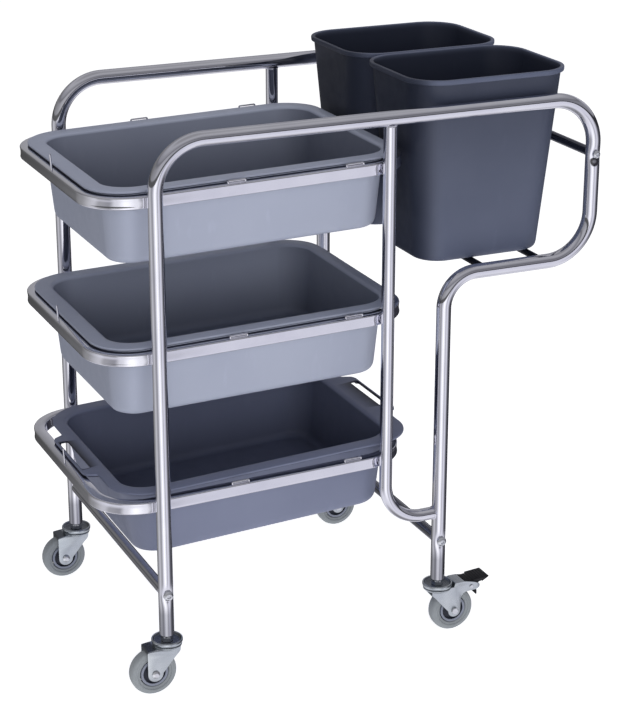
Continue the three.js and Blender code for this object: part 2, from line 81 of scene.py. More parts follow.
RING_HALF = 10.0
RING_LENGTH = 270.5
RING_Y = 219.7
RING_CORNER = 76.0
RING_TILT = math.radians(1.3)
BOTTOM_TUB_TILT = math.radians(1.3)
STOP_X = (LEFT_X + 143, LEFT_X + 349)
STOP_Y = RING_Y + 7.0
STOP_HEIGHT = 6.5
RING_X = LEFT_X + 184.0
PIN_X = -RING_LENGTH - 7.0
PIN_Y = -12.0

TUB_DEPTH = 132.0
TUB_LIP = 6.0
TUB_PLATE = 3.7
TUB_WALL = 3.0

WHEEL_R = 40.0
TRAIL = 27.0
FORK_TOP = 87.0
HOUSING_TOP = 93.5
PEDAL_X, PEDAL_Z = 60.0, 81.0

SIDES = {"near": -1, "far": 1}
CORNERS = {
    "left_near": (LEFT_X, -FRAME_Y, -1),
    "left_far": (LEFT_X, FRAME_Y, -1),
    "right_near": (RIGHT_X, -FRAME_Y, 1),
    "right_far": (RIGHT_X, FRAME_Y, 1),
}

# ------------------------------------------------------------------ mesh helpers


def make(name, verts, faces, body, slot, material, nodes=(), place=None, sharp=32, ride=True, shade=None):
    """A piece from points in mm, shaded smooth except across sharp edges. Shade is one value a point: painted
    shade, 1 for none.
    """
    mesh = bpy.data.meshes.new(name)
    if place is not None:
        verts = [place @ Vector(v) for v in verts]
    mesh.from_pydata([tuple(Vector(v) * MM) for v in verts], [], faces)
    mesh.attributes.new("shade", "FLOAT", "POINT").data.foreach_set("value", shade or [1.0] * len(verts))
    fix = bmesh.new()
    fix.from_mesh(mesh)
    bmesh.ops.remove_doubles(fix, verts=fix.verts, dist=1e-6)
    bmesh.ops.recalc_face_normals(fix, faces=fix.faces)
    fix.to_mesh(mesh)
    fix.free()
    mesh.polygons.foreach_set("use_smooth", [True] * len(mesh.polygons))
    mesh.set_sharp_from_angle(angle=math.radians(sharp))
    mesh.materials.append(material)
    piece = bpy.data.objects.new(name, mesh)
    bpy.context.scene.collection.objects.link(piece)
    if ride:
        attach(piece, body)
        if nodes:
            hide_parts(*nodes)
    return piece


def rounded(points, radius, closed=True, steps=4):
    """A polyline with its corners cut to short curves. Radius is one number or one for each point."""
    count = len(points)
    radii = radius if isinstance(radius, (list, tuple)) else [radius] * count
    out = []
    for i, here in enumerate(points):
        here = Vector(here)
        if (not closed and i in (0, count - 1)) or radii[i] <= 0:
            out.append(here)
            continue
        before = Vector(points[i - 1]) - here
        after = Vector(points[(i + 1) % count]) - here
        reach = min(radii[i], 0.45 * before.length, 0.45 * after.length)
        a = here + before.normalized() * reach
        b = here + after.normalized() * reach
        for k in range(steps + 1):
            t = k / steps
            out.append(a * (1 - t) ** 2 + here * (2 * t * (1 - t)) + b * t * t)
    return out


def route(corners, step=4.0):
    """Centre line of a bent tube: (point, bend radius) corners to (point, heading) stations."""
    points = [Vector(p) for p, _ in corners]
    stations = [(points[0], (points[1] - points[0]).normalized())]
    for i in range(1, len(points) - 1):
        into = (points[i] - points[i - 1]).normalized()
        out = (points[i + 1] - points[i]).normalized()
        turn = into.angle(out)
        radius = corners[i][1]
        start = points[i] - into * radius * math.tan(turn / 2)
        side = (out - into * into.dot(out)).normalized()
        centre = start + side * radius
        count = max(2, round(math.degrees(turn) / step))
        for k in range(count + 1):
            a = turn * k / count
            point = centre + into * radius * math.sin(a) - side * radius * math.cos(a)
            stations.append((point, into * math.cos(a) + side * math.sin(a)))
    stations.append((points[-1], (points[-1] - points[-2]).normalized()))
    return stations


def square_sweep(stations, half, edge, sink, steps=4):
    """A square tube with rounded edges along a closed flat route.

    Sink is how far the middle of its outer wall is drawn in at each station.
    """
    section = []
    for corner in range(4):
        out = 1 if corner in (0, 3) else -1
        up = 1 if corner < 2 else -1
        for k in range(steps + 1):
            a = (corner + k / steps) * math.pi / 2
            section.append((out * (half - edge) + edge * math.cos(a),
                            up * (half - edge) + edge * math.sin(a), 0))
    for k in range(5):
        u = (k - 2) / 3
        section.append((half, u * (half - edge), 1 - u * u))
    verts = []
    for (point, heading), drawn in zip(stations, sink):
        outward = Vector((heading.y, -heading.x, 0))
        verts += [point + outward * (o - deep * drawn) + Vector((0, 0, u)) for o, u, deep in section]
    count = len(section)
    faces = []
    for b in range(len(stations)):
        low, high = b * count, ((b + 1) % len(stations)) * count
        for i in range(count):
            j = (i + 1) % count
            faces.append((low + i, low + j, high + j, high + i))
    return verts, faces


def sweep(stations, flat, radius, sides=36, closed=False, end_round=0.8):
    """A round tube along stations that lie in the plane with normal flat."""
    flat = Vector(flat)
    rings = []

    def ring(point, heading, r):
        across = flat.cross(heading).normalized()
        angles = [2 * math.pi * i / sides for i in range(sides)]
        return [point + (flat * math.cos(a) + across * math.sin(a)) * r for a in angles]

    for point, heading in stations:
        rings.append(ring(point, heading, radius))
    if not closed:
        first, last = stations[0], stations[-1]
        tip = end_round
        rings[0] = ring(first[0] + first[1] * tip, first[1], radius)
        rings.insert(0, ring(first[0] + first[1] * tip * 0.3, first[1], radius - tip * 0.3))
        rings.insert(0, ring(first[0], first[1], radius - tip))
        rings[-1] = ring(last[0] - last[1] * tip, last[1], radius)
        rings.append(ring(last[0] - last[1] * tip * 0.3, last[1], radius - tip * 0.3))
        rings.append(ring(last[0], last[1], radius - tip))
        rings.insert(3, ring(first[0] + first[1] * tip * 2, first[1], radius))
        rings.insert(-3, ring(last[0] - last[1] * tip * 2, last[1], radius))
    verts = [v for r in rings for v in r]
    faces = []
    bands = len(rings) if closed else len(rings) - 1
    for b in range(bands):
        low, high = b * sides, ((b + 1) % len(rings)) * sides
        for i in range(sides):
            j = (i + 1) % sides
            faces.append((low + i, low + j, high + j, high + i))
    if not closed:
        faces.append(tuple(reversed(range(sides))))
        top = (len(rings) - 1) * sides
        faces.append(tuple(range(top, top + sides)))
    return verts, faces


def turned(profile, segments=48):
    """Verts and faces turned about Z from (radius, height) pairs, closed on the axis or on itself."""
    verts, faces, rows = [], [], []
    for r, z in profile:
        if r < 1e-6:
            rows.append([len(verts)] * segments)
            verts.append(Vector((0, 0, z)))
            continue
        rows.append(list(range(len(verts), len(verts) + segments)))
        for i in range(segments):
            a = 2 * math.pi * i / segments
            verts.append(Vector((r * math.cos(a), r * math.sin(a), z)))
    pairs = list(zip(rows, rows[1:]))
    if profile[0][0] > 1e-6:
        pairs.append((rows[-1], rows[0]))
    for low, high in pairs:
        for i in range(segments):
            j = (i + 1) % segments
            face = [low[i], low[j], high[j], high[i]]
            face = [v for k, v in enumerate(face) if v not in face[:k]]
            if len(face) > 2:
                faces.append(tuple(face))
    return verts, faces


def spun(profile, segments):
    """A turned body from a softened profile of (radius, height) points."""
    return turned([(p.x, p.y) for p in profile], segments)


def bar(x, z, reach, radius, sides, end_round=0.8):
    """A round bar along Y, from -reach to reach."""
    across = Vector((0, 1, 0))
    ends = [(Vector((x, -reach, z)), across), (Vector((x, reach, z)), across)]
    return sweep(ends, (0, 0, 1), radius, sides, end_round=end_round)


def slab(outline, thickness):
    """An outline in x and z, given a thickness along y and softened edges."""
    count = len(outline)
    edge = min(0.5, thickness / 4)
    middle_point = sum((Vector(p) for p in outline), Vector((0, 0))) / count
    layers = []
    for y, inset in ((0, edge), (edge * 0.4, edge * 0.3), (edge, 0),
                     (thickness - edge, 0), (thickness - edge * 0.4, edge * 0.3), (thickness, edge)):
        layer = []
        for i, p in enumerate(outline):
            p = Vector(p)
            along = (Vector(outline[(i + 1) % count]) - Vector(outline[i - 1])).normalized()
            normal = Vector((along.y, -along.x))
            if normal.dot(p - middle_point) < 0:
                normal = -normal
            q = p - normal * inset
            layer.append(Vector((q.x, y, q.y)))
        layers.append(layer)
    verts = [v for layer in layers for v in layer]
    faces = [tuple(range(count)), tuple(reversed(range(5 * count, 6 * count)))]
    for b in range(5):
        for i in range(count):
            j = (i + 1) % count
            faces.append((b * count + i, b * count + j, (b + 1) * count + j, (b + 1) * count + i))
    return verts, faces


def merged(*parts):
    verts, faces = [], []
    for part_verts, part_faces in parts:
        shift = len(verts)
        verts += list(part_verts)
        faces += [tuple(i + shift for i in face) for face in part_faces]
    return verts, faces


def moved(part, matrix):
    return [matrix @ Vector(v) for v in part[0]], part[1]


def shift(x, y, z):
    return Matrix.Translation((x, y, z))


ALONG_Y = Matrix.Rotation(-math.pi / 2, 4, "X")

# ------------------------------------------------------------------ outlines for tubs and bins

CORNER_STEPS = 14
END_STEPS = 22
BULGE_HALF = 84.0
BULGE_TAPER = 12.0


def smooth_step(t):
    t = max(0.0, min(1.0, t))
    return t * t * (3 - 2 * t)


def outline(x, hx, hy, r, out, z):
    """A round-cornered rectangle. Out is how far the middle of each end bulges."""
    points = []
    for corner in range(4):
        sign_x = 1 if corner in (0, 3) else -1
        sign_y = 1 if corner < 2 else -1
        for k in range(CORNER_STEPS + 1):
            a = (corner + k / CORNER_STEPS) * math.pi / 2
            points.append(Vector((x + sign_x * (hx - r) + r * math.cos(a),
                                  sign_y * (hy - r) + r * math.sin(a), z)))
        if corner % 2 == 1:
            span = min(BULGE_HALF + BULGE_TAPER, 0.98 * (hy - r))
            for k in range(END_STEPS + 1):
                y = span - 2 * span * k / END_STEPS
                extra = out * smooth_step((span - abs(y)) / BULGE_TAPER)
                points.append(Vector((x + sign_x * (hx + extra), -sign_x * y, z)))
    return points


def soften(levels, reach):
    """Rounds the corners of a stack of outline specs; reach gives how far each corner is cut."""
    out = []
    for i, here in enumerate(levels):
        if i in (0, len(levels) - 1) or reach[i] <= 0:
            out.append(here)
            continue
        before, after = levels[i - 1], levels[i + 1]

        def toward(other):
            length = math.hypot(other[1] - here[1], other[5] - here[5]) or 1.0
            t = min(reach[i] / length, 0.48)
            return tuple(a + (b - a) * t for a, b in zip(here, other))

        a, b = toward(before), toward(after)
        steps = 3 if reach[i] < 3 else 6
        for k in range(steps + 1):
            t = k / steps
            out.append(tuple(p * (1 - t) ** 2 + q * 2 * t * (1 - t) + r * t * t
                             for p, q, r in zip(a, here, b)))
    return out


def lofted(levels):
    """Skin over levels (x, hx, hy, r, bulge, z, shade): verts, faces and the shade of each vert."""
    rings = [outline(*level[:6]) for level in levels]
    count = len(rings[0])
    shade = [level[6] for level in levels for _ in range(count)] + [levels[0][6], levels[-1][6]]
    verts = [v for ring in rings for v in ring]
    faces = []
    for b in range(len(rings) - 1):
        for i in range(count):
            j = (i + 1) % count
            faces.append((b * count + i, b * count + j, (b + 1) * count + j, (b + 1) * count + i))
    for ring, z in ((0, rings[0]), (len(rings) - 1, rings[-1])):
        hub = sum(z, Vector()) / count
        verts.append(hub)
        apex = len(verts) - 1
        for i in range(count):
            faces.append((ring * count + i, ring * count + (i + 1) % count, apex))
    return verts, faces, shade


# ------------------------------------------------------------------ materials


def colour(r, g, b):
    """sRGB 0-255 to linear."""
    def one(v):
        v /= 255
        return v / 12.92 if v <= 0.04045 else ((v + 0.055) / 1.055) ** 2.4
    return (one(r), one(g), one(b), 1.0)


class Looks:
    """A material with object-space noise for its colour, roughness and bump."""

    def __init__(self, name):
        self.material = bpy.data.materials.new(name)
        self.material.use_nodes = True
        self.tree = self.material.node_tree
        self.shader = self.tree.nodes["Principled BSDF"]
        self.space = self.tree.nodes.new("ShaderNodeTexCoord").outputs["Object"]

    def noise(self, scale, detail=3.0, stretch=None):
        source = self.space
        if stretch:
            mapping = self.tree.nodes.new("ShaderNodeMapping")
            mapping.inputs["Scale"].default_value = stretch
            self.tree.links.new(source, mapping.inputs["Vector"])
            source = mapping.outputs["Vector"]
        node = self.tree.nodes.new("ShaderNodeTexNoise")
        node.inputs["Scale"].default_value = scale
        node.inputs["Detail"].default_value = detail
        self.tree.links.new(source, node.inputs["Vector"])
        return node.outputs["Fac"]

    def spread(self, source, low, high, start=0.3, stop=0.7):
        node = self.tree.nodes.new("ShaderNodeMapRange")
        node.inputs["From Min"].default_value = start
        node.inputs["From Max"].default_value = stop
        node.inputs["To Min"].default_value = low
        node.inputs["To Max"].default_value = high
        self.tree.links.new(source, node.inputs["Value"])
        return node.outputs["Result"]

    def blend(self, source, first, second):
        node = self.tree.nodes.new("ShaderNodeMix")
        node.data_type = "RGBA"
        for key, value in (("A_Color", first), ("B_Color", second)):
            socket = next(s for s in node.inputs if s.identifier == key)
            if isinstance(value, bpy.types.NodeSocket):
                self.tree.links.new(value, socket)
            else:
                socket.default_value = value
        self.tree.links.new(source, node.inputs["Factor"])
        return next(s for s in node.outputs if s.identifier == "Result_Color")

    def bump(self, source, strength, distance, under=None):
        node = self.tree.nodes.new("ShaderNodeBump")
        node.inputs["Strength"].default_value = strength
        node.inputs["Distance"].default_value = distance
        self.tree.links.new(source, node.inputs["Height"])
        if under is not None:
            self.tree.links.new(under, node.inputs["Normal"])
        return node.outputs["Normal"]

    def shaded(self, finish, tone):
        """Paints shade by the shade value that the mesh carries: 1 is the full colour and 0 nearly black."""
        painted_shade = self.tree.nodes.new("ShaderNodeAttribute")
        painted_shade.attribute_name = "shade"
        dark = tuple(c * part for c, part in zip(tone, (0.05, 0.058, 0.085, 1.0)))
        return self.blend(painted_shade.outputs["Fac"], dark, finish)

    def wire(self, **sockets):
        for key, source in sockets.items():
            self.tree.links.new(source, self.shader.inputs[key.replace("_", " ")])

    def fix(self, **sockets):
        for key, value in sockets.items():
            self.shader.inputs[key.replace("_", " ")].default_value = value


def metal(name, tone, second, rough_low, rough_high, waviness, grain, shaded=False):
    """Steel with faint stains and smudges, slight waves and a fine grain."""
    look = Looks(name)
    look.fix(Metallic=1.0)
    stain = look.noise(14.0, 5.0)
    finish = look.blend(look.spread(stain, 0.0, 1.0), tone, second)
    look.wire(Base_Color=look.shaded(finish, tone) if shaded else finish)
    smudge = look.noise(55.0, 6.0)
    look.wire(Roughness=look.spread(smudge, rough_low, rough_high))
    wave = look.bump(look.noise(9.0, 2.0), waviness, 0.002)
    look.wire(Normal=look.bump(look.noise(900.0, 2.0), grain, 0.0002, wave))
    return look.material


def plastic(name, tone, second, rough_low, rough_high, grain=0.12, specular=0.4, shaded=False):
    """Moulded plastic with a cloudy colour, faint scuffs and a fine grain."""
    look = Looks(name)
    look.fix(Specular_IOR_Level=specular)
    cloud = look.noise(7.0, 4.0)
    base = look.blend(look.spread(cloud, 0.0, 1.0), tone, second)
    scuff = look.spread(look.noise(60.0, 6.0, (1.0, 1.0, 0.25)), 0.0, 0.12, 0.62, 0.78)
    pale = tuple(min(1.0, c * 1.5 + 0.02) for c in tone[:3]) + (1.0,)
    finish = look.blend(scuff, base, pale)
    look.wire(Base_Color=look.shaded(finish, tone) if shaded else finish)
    look.wire(Roughness=look.spread(look.noise(40.0, 5.0), rough_low, rough_high))
    dimple = look.bump(look.noise(6.0, 2.0), 0.08, 0.004)
    look.wire(Normal=look.bump(look.noise(1400.0, 3.0), grain, 0.0004, dimple))
    return look.material


# Shaded materials read the shade value of the mesh and paint shade by it.
CHROME = metal("chrome", colour(238, 238, 244), colour(228, 228, 236), 0.05, 0.10, 0.04, 0.02, shaded=True)
ZINC = metal("zinc", colour(214, 219, 221), colour(186, 193, 200), 0.20, 0.34, 0.14, 0.14, shaded=True)
FASTENER = metal("bright_zinc", colour(246, 247, 250), colour(230, 233, 238), 0.3, 0.42, 0.08, 0.08)
BAR = metal("dark_steel", colour(62, 64, 72), colour(38, 40, 46), 0.28, 0.42, 0.06, 0.10)
TUB_GREY = plastic("tub_grey", colour(166, 172, 190), colour(160, 166, 185), 0.34, 0.46, shaded=True)
TUB_SLATE = plastic("tub_slate", colour(120, 126, 150), colour(114, 120, 144), 0.34, 0.46, shaded=True)
BIN_SLATE = plastic("bin_slate", colour(90, 97, 119), colour(84, 91, 113), 0.38, 0.5, shaded=True)
RUBBER = plastic("grey_rubber", colour(148, 153, 157), colour(134, 139, 144), 0.62, 0.78, 0.25, 0.3)
HUB = plastic("hub_grey", colour(138, 143, 158), colour(124, 130, 146), 0.42, 0.55, shaded=True)
BLACK = plastic("black_plastic", colour(26, 26, 30), colour(18, 18, 22), 0.4, 0.55, 0.3)

# ------------------------------------------------------------------ bent tube frame


def frame_stations(y):
    return route([
        ((LEFT_X, y, LEG_END_Z), 0),
        ((LEFT_X, y, RAIL_Z), BEND_R),
        ((LOOP_X, y, RAIL_Z), BEND_R),
        ((LOOP_X, y, LOOP_Z), BEND_R),
        ((RIGHT_X, y, LOOP_Z), LEG_BEND_R),
        ((RIGHT_X, y, LEG_END_Z), 0),
    ])


def dented(part, spots, side):
    """Presses a shallow saddle into the tube round each (x, z) spot, where a bolt goes through it."""
    verts, faces = part
    out = []
    for v in verts:
        v = v.copy()
        outside = side * v.y - FRAME_Y
        for x, z in spots:
            if outside > 0 and abs(v.x - x) < 14 and abs(v.z - z) < 34:
                v.y -= side * 3.4 * math.exp(-((v.z - z + 3) / 13) ** 2) * (outside / FRAME_R) ** 1.5
        out.append(v)
    return out, faces


def densely(stations, spots):
    """Adds stations along the straight stretches beside each (x, z) spot."""
    out = [stations[0]]
    for (a, heading), (b, after) in zip(stations, stations[1:]):
        if (b - a).length > 60 and abs(heading.z) > 0.99:
            near = [z for x, z in spots if abs(x - a.x) < 5 and min(a.z, b.z) < z < max(a.z, b.z)]
            heights = sorted((z + 2.5 * k for z in near for k in range(-14, 15)), reverse=b.z < a.z)
            low, high = min(a.z, b.z) + 3, max(a.z, b.z) - 3
            out += [(Vector((a.x, a.y, z)), (b - a).normalized()) for z in heights if low < z < high]
        out.append((b, after))
    return out


LEG_SHADE_TOP = CROSS_LOW_Z - 12.0       # the lower legs get painted shade below this height, for the darker things their chrome mirrors there
LEG_SHADE_DEPTH = 30.0
BOLT_SPOTS = ((LEFT_X, CROSS_LOW_Z), (RIGHT_X, CROSS_LOW_Z), (LOOP_X, CROSS_HIGH_Z))


def weld_bead(name, centre, axis, radius, thick=1.3):
    """A ripple of weld round a joint: a small uneven torus."""
    ring_steps, section = 40, 8
    verts, faces = [], []
    axis = Vector(axis).normalized()
    u = axis.orthogonal().normalized()
    w = axis.cross(u)
    for i in range(ring_steps):
        a = 2 * math.pi * i / ring_steps
        size = thick * (1 + 0.18 * math.sin(9 * a) + 0.1 * math.sin(17 * a + 1))
        radial = u * math.cos(a) + w * math.sin(a)
        for k in range(section):
            b = 2 * math.pi * k / section
            verts.append(Vector(centre) + radial * (radius + size * math.cos(b)) + axis * size * math.sin(b))
    for i in range(ring_steps):
        for k in range(section):
            a0, a1 = i * section, ((i + 1) % ring_steps) * section
            j = (k + 1) % section
            faces.append((a0 + k, a0 + j, a1 + j, a1 + k))
    make(name, verts, faces, "frame", "chrome_tube", CHROME)


for side, sign in SIDES.items():
    stations = densely(frame_stations(sign * FRAME_Y), BOLT_SPOTS)
    tube = dented(sweep(stations, (0, 1, 0), FRAME_R, 48), BOLT_SPOTS, sign)
    # Painted shade on the lower legs: their chrome is drawn darker towards the foot.
    leg_shade = [1 - 0.5 * smooth_step((LEG_SHADE_TOP - v.z) / LEG_SHADE_DEPTH) for v in tube[0]]
    make(f"frame_tube_{side}", *tube, "frame", "chrome_tube", CHROME, [f"side_frame_{side}"], shade=leg_shade)
    post = sweep(route([
        ((POST_X, sign * POST_Y, RAIL_Z - FRAME_R - 0.2), 0),
        ((POST_X, sign * POST_Y, POST_FOOT_Z), POST_BEND_R),
        ((RIGHT_X - FRAME_R - 0.2, sign * POST_Y, POST_FOOT_Z), 0),
    ]), (0, 1, 0), POST_R, 36, end_round=0.3)
    make(f"post_tube_{side}", *post, "frame", "chrome_tube", CHROME, [f"post_{side}"])
    for label, spot, axis in (("top", (POST_X, sign * POST_Y, RAIL_Z - FRAME_R + 1.2), (0, 0, 1)),
                              ("foot", (RIGHT_X - FRAME_R + 1.2, sign * POST_Y, POST_FOOT_Z), (1, 0, 0))):
        weld_bead(f"weld_post_{label}_{side}", spot, axis, POST_R - 0.2)

CROSS_REACH = FRAME_Y - FRAME_R - 0.3
# Each cross tube: x, z, radius, its bolts' head radius, and its shade: painted shade that darkens its chrome
# for the dark things it mirrors.
CROSS = {
    "lower_left": (LEFT_X, CROSS_LOW_Z, 9.5, 8.5, 0.7),
    "lower_right": (RIGHT_X, CROSS_LOW_Z, 9.5, 8.5, 0.25),
    "upper": (LOOP_X, CROSS_HIGH_Z, 8.0, 6.5, 0.1),
}


def bolt(head_r):
    """Dome head with a washer face and a round socket; the shank runs down -Z."""
    height = head_r * 0.5
    profile = rounded([
        (0, height * 0.35), (head_r * 0.38, height * 0.35), (head_r * 0.42, height),
        (head_r * 0.6, height * 0.93), (head_r * 0.88, height * 0.5), (head_r * 0.95, 1.2),
        (head_r, 1.0), (head_r, -2.2), (3.9, -2.2), (3.9, -38), (0, -38),
    ], 0.35, closed=False, steps=3)
    return spun(profile, 40)


for place, (x, z, radius, head_r, bright) in CROSS.items():
    # Painted shade darkens each cross tube's chrome by its listed shade.
    tube = bar(x, z, CROSS_REACH, radius, 36)
    make(f"cross_bar_{place}", *tube, "frame", "chrome_tube", CHROME, [f"cross_tube_{place}"],
         shade=[bright] * len(tube[0]))
    for side, sign in SIDES.items():
        seat = shift(x, sign * (FRAME_Y + FRAME_R + 0.3), z)
        turn = Matrix.Rotation(-sign * math.pi / 2, 4, "X")
        make(f"bolt_head_{place}_{side}", *bolt(head_r), "frame", "zinc_fastener", FASTENER,
             [f"bolt_{place}_{side}"], seat @ turn)

for place in ("left", "right"):
    rod = bar(middle(f"bin_bar_{place}").x, BAR_Z, CROSS_REACH, 6.0, 28)
    make(f"bin_rod_{place}", *rod, "frame", "dark_steel_bar", BAR, [f"bin_bar_{place}"])

# ------------------------------------------------------------------ tub rails


RING_STEPS = 24                     # steps round each corner of a rail


def ring_stations(hx, hy, r):
    """Centre line of a rail: (point, heading) stations round its four corners."""
    stations = []
    for corner in range(4):
        sign_x = 1 if corner in (0, 3) else -1
        sign_y = 1 if corner < 2 else -1
        for k in range(RING_STEPS + 1):
            a = (corner + k / RING_STEPS) * math.pi / 2
            point = Vector((sign_x * (hx - r) + r * math.cos(a), sign_y * (hy - r) + r * math.sin(a), 0))
            stations.append((point, Vector((-math.sin(a), math.cos(a), 0))))
    return stations


def stop_wire(x, y):
    """A closed wire loop, round at its left end, that stands on the rail."""
    half, wire = 15.0, 1.5
    low, high = RING_HALF + wire - 0.4, RING_HALF + STOP_HEIGHT - wire
    corners = rounded([(x - half, low), (x + half, low), (x + half, high), (x - half, high)],
                      [1.9, 1.6, 1.6, 1.9], steps=5)
    stations = []
    for i, p in enumerate(corners):
        heading = corners[(i + 1) % len(corners)] - corners[i - 1]
        stations.append((Vector((p.x, y, p.y)), Vector((heading.x, 0, heading.y)).normalized()))
    return sweep(stations, (0, 1, 0), wire, 10, closed=True)


def shelf_matrix(level):
    """The place of a rail's own frame, which slopes up towards the bins."""
    low, _ = box_mm(f"tub_rail_{level}")
    tilt = Matrix.Rotation(-RING_TILT, 4, "Y")
    drop = (RING_LENGTH + RING_HALF - 2) * math.sin(RING_TILT) + (RING_HALF - 2) * math.cos(RING_TILT) + 2
    return shift(RING_X, 0, low.z + drop) @ tilt


for level in ("top", "middle", "bottom"):
    place = shelf_matrix(level)
    ring_x = place.translation.x
    arc_share = [(i % (RING_STEPS + 1)) / RING_STEPS for i in range(4 * (RING_STEPS + 1))]
    bend = [1.1 * math.sin(math.pi * share) ** 0.5 for share in arc_share]
    ring = square_sweep(ring_stations(RING_LENGTH, RING_Y, RING_CORNER), RING_HALF - 0.02, 2.0, bend)
    wires = [stop_wire(x - ring_x, sign * STOP_Y) for x in STOP_X for sign in (-1, 1)]
    pin = sweep(route([((PIN_X + 0.6, PIN_Y, RING_HALF - 4), 0), ((PIN_X + 0.2, PIN_Y, RING_HALF + 8), 30),
                       ((PIN_X - 0.6, PIN_Y, RING_HALF + 27.8), 0)]), (0, 1, 0), 1.6, 12)
    make(f"rail_{level}", *merged(ring, *wires, pin), "frame", "chrome_tube", CHROME,
         [f"tub_rail_{level}"], place)
    for side, sign in SIDES.items():
        for label, x in (("leg", LEFT_X), ("post", POST_X)):
            local = Vector((x - ring_x, sign * (RING_Y + RING_HALF - 0.6), 0))
            weld_bead(f"weld_{label}_{level}_{side}", place @ local, (0, 1, 0), 4.2, thick=1.6)

# ------------------------------------------------------------------ tubs

# Outlines are centre x, half length, half width and corner radius. Handle is how far each end bulges.
PLAIN = {"x": 1.5, "handle": 0,
         "rim": (0, 269, 214, 72), "mouth": (5, 246, 186, 50), "base": (3, 237, 172, 44)}
HANDLED = {"x": 25, "handle": 21,
           "rim": (0, 271, 214, 72), "mouth": (-7, 243, 185, 50), "base": (-5, 226, 170, 46)}
# How light each tub's well is painted: it scales the painted shade inside the well.
WELL_PAINTED_LIGHT = {"top": 1.0, "middle": 1.25, "bottom": 1.4}


def spec(shape, by, z, out=0.0, shade=1.0):
    """One level of a tub or bin: an outline grown by some mm, at height z."""
    x, hx, hy, r = shape
    return (x, hx + by, hy + by, max(r + by, 3.0), out, z, shade)


def tub_levels(rim, mouth, base, handle):
    """The tub's section, from under its floor up over the rim and down inside to the floor."""
    floor = -TUB_DEPTH
    wall = TUB_WALL
    # Shade values below 1 are painted shade: on the outer wall under the rim, under the rim's plate and lip,
    # and down the inside of the well.
    levels = [
        (spec(base, -40, floor + 0.6), 0),
        (spec(base, -22, floor + 0.6), 3),
        (spec(base, -19, floor), 3),
        (spec(base, 0, floor), 15),
        (spec(mouth, 0, -14.0), 2),
        (spec(mouth, 0, -wall, 0, 0.5), 2.5),
        (spec(rim, -8, -wall, handle, 0.1), 1.0),
        (spec(rim, -8, -TUB_LIP, handle, 0.1), 0.9),
        (spec(rim, -4, -TUB_LIP, handle, 0.1), 0.9),
        (spec(rim, -4, -TUB_PLATE, handle, 0.1), 0.4),
        (spec(rim, -0.3, -TUB_PLATE, handle, 0.6), 0.5),
        (spec(rim, -0.02, -TUB_PLATE + 0.5, handle), 0.3),
        (spec(rim, -0.02, -0.02, handle), 1.6),
        (spec(mouth, 2.2, -0.02), 2.2),
        (spec(mouth, -wall + 0.4, -2.6), 2.2),
        (spec(mouth, -wall, -8.0, 0, 0.92), 2),
        (spec(base, -wall, floor + wall, 0, 0.56), 14),
        (spec(base, -60, floor + wall, 0, 0.5), 0),
    ]
    return soften([level for level, _ in levels], [reach for _, reach in levels])


def cut_holes(piece, cutters):
    """Cuts each closed cutter out of the piece and leaves the result as its mesh."""
    for verts, faces in cutters:
        tool = make("cutter", verts, faces, None, None, piece.data.materials[0], ride=False)
        modifier = piece.modifiers.new("cut", "BOOLEAN")
        modifier.object = tool
        modifier.operation = "DIFFERENCE"
        modifier.solver = "EXACT"
        bpy.context.view_layer.update()
        evaluated = piece.evaluated_get(bpy.context.evaluated_depsgraph_get())
        mesh = bpy.data.meshes.new_from_object(evaluated)
        piece.modifiers.clear()
        piece.data = mesh
        bpy.data.objects.remove(tool)
    piece.data.set_sharp_from_angle(angle=math.radians(32))


def hand_hole(x0, x1, half, matrix):
    """A closed cutter for one of the long holes in a tub's ends."""
    flat = rounded([(x0, -half), (x1, -half), (x1, half), (x0, half)], 5.5, steps=5)
    count = len(flat)
    verts = [Vector((p.x, p.y, z)) for z in (-8.0, 5.0) for p in flat]
    faces = [tuple(range(count)), tuple(range(count, 2 * count))]
    faces += [(i, (i + 1) % count, count + (i + 1) % count, count + i) for i in range(count)]
    return moved((verts, faces), matrix)


def shade_tub(verts, shade, shape, tone):
    """Paints shade: fades the well towards its ends and floor, and the outside towards its left end; tone
    lightens or darkens the well's painted shade.
    """
    centre, hx, hy, _ = shape["mouth"]
    inside_x, inside_y = hx - TUB_WALL + 0.5, hy - TUB_WALL + 0.5
    for i, v in enumerate(verts):
        if abs(v.x - centre) < inside_x and abs(v.y) < inside_y and shade[i] < 0.95:
            t = 0.5 + (v.x - centre) / (2 * inside_x)
            shade[i] *= (0.6 + 0.4 * smooth_step(t / 0.3)) * (1 - 0.5 * smooth_step((t - 0.84) / 0.16))
            shade[i] *= (1 - 0.25 * smooth_step((-v.z - 60) / 60)) * tone
        elif v.z < -TUB_LIP:
            shade[i] *= 1 - 0.28 * smooth_step((-v.x - inside_x + 40) / 36)


for level in ("top", "middle", "bottom"):
    handled = level == "bottom"
    shape = HANDLED if handled else PLAIN
    left_end = shape["x"] - shape["rim"][1] - shape["handle"]
    lean = Matrix.Rotation(-BOTTOM_TUB_TILT if handled else 0, 4, "Y")
    place = (shelf_matrix(level) @ shift(left_end, 0, RING_HALF + 0.3) @ lean
             @ shift(shape["x"] - left_end, 0, TUB_LIP))
    look, slot = (TUB_SLATE, "slate_tub_plastic") if handled else (TUB_GREY, "grey_tub_plastic")
    verts, faces, shade = lofted(tub_levels(shape["rim"], shape["mouth"], shape["base"], shape["handle"]))
    shade_tub(verts, shade, shape, WELL_PAINTED_LIGHT[level])
    piece = make(f"tub_shell_{level}", verts, faces, f"tub_{level}", slot, look, [f"tub_{level}"], place,
                 shade=shade)
    if handled:
        outside = shape["rim"][1] + shape["handle"] - 4
        cut_holes(piece, [hand_hole(outside - 16, outside, 64, place),
                          hand_hole(-outside, 16 - outside, 64, place)])

# ------------------------------------------------------------------ bins

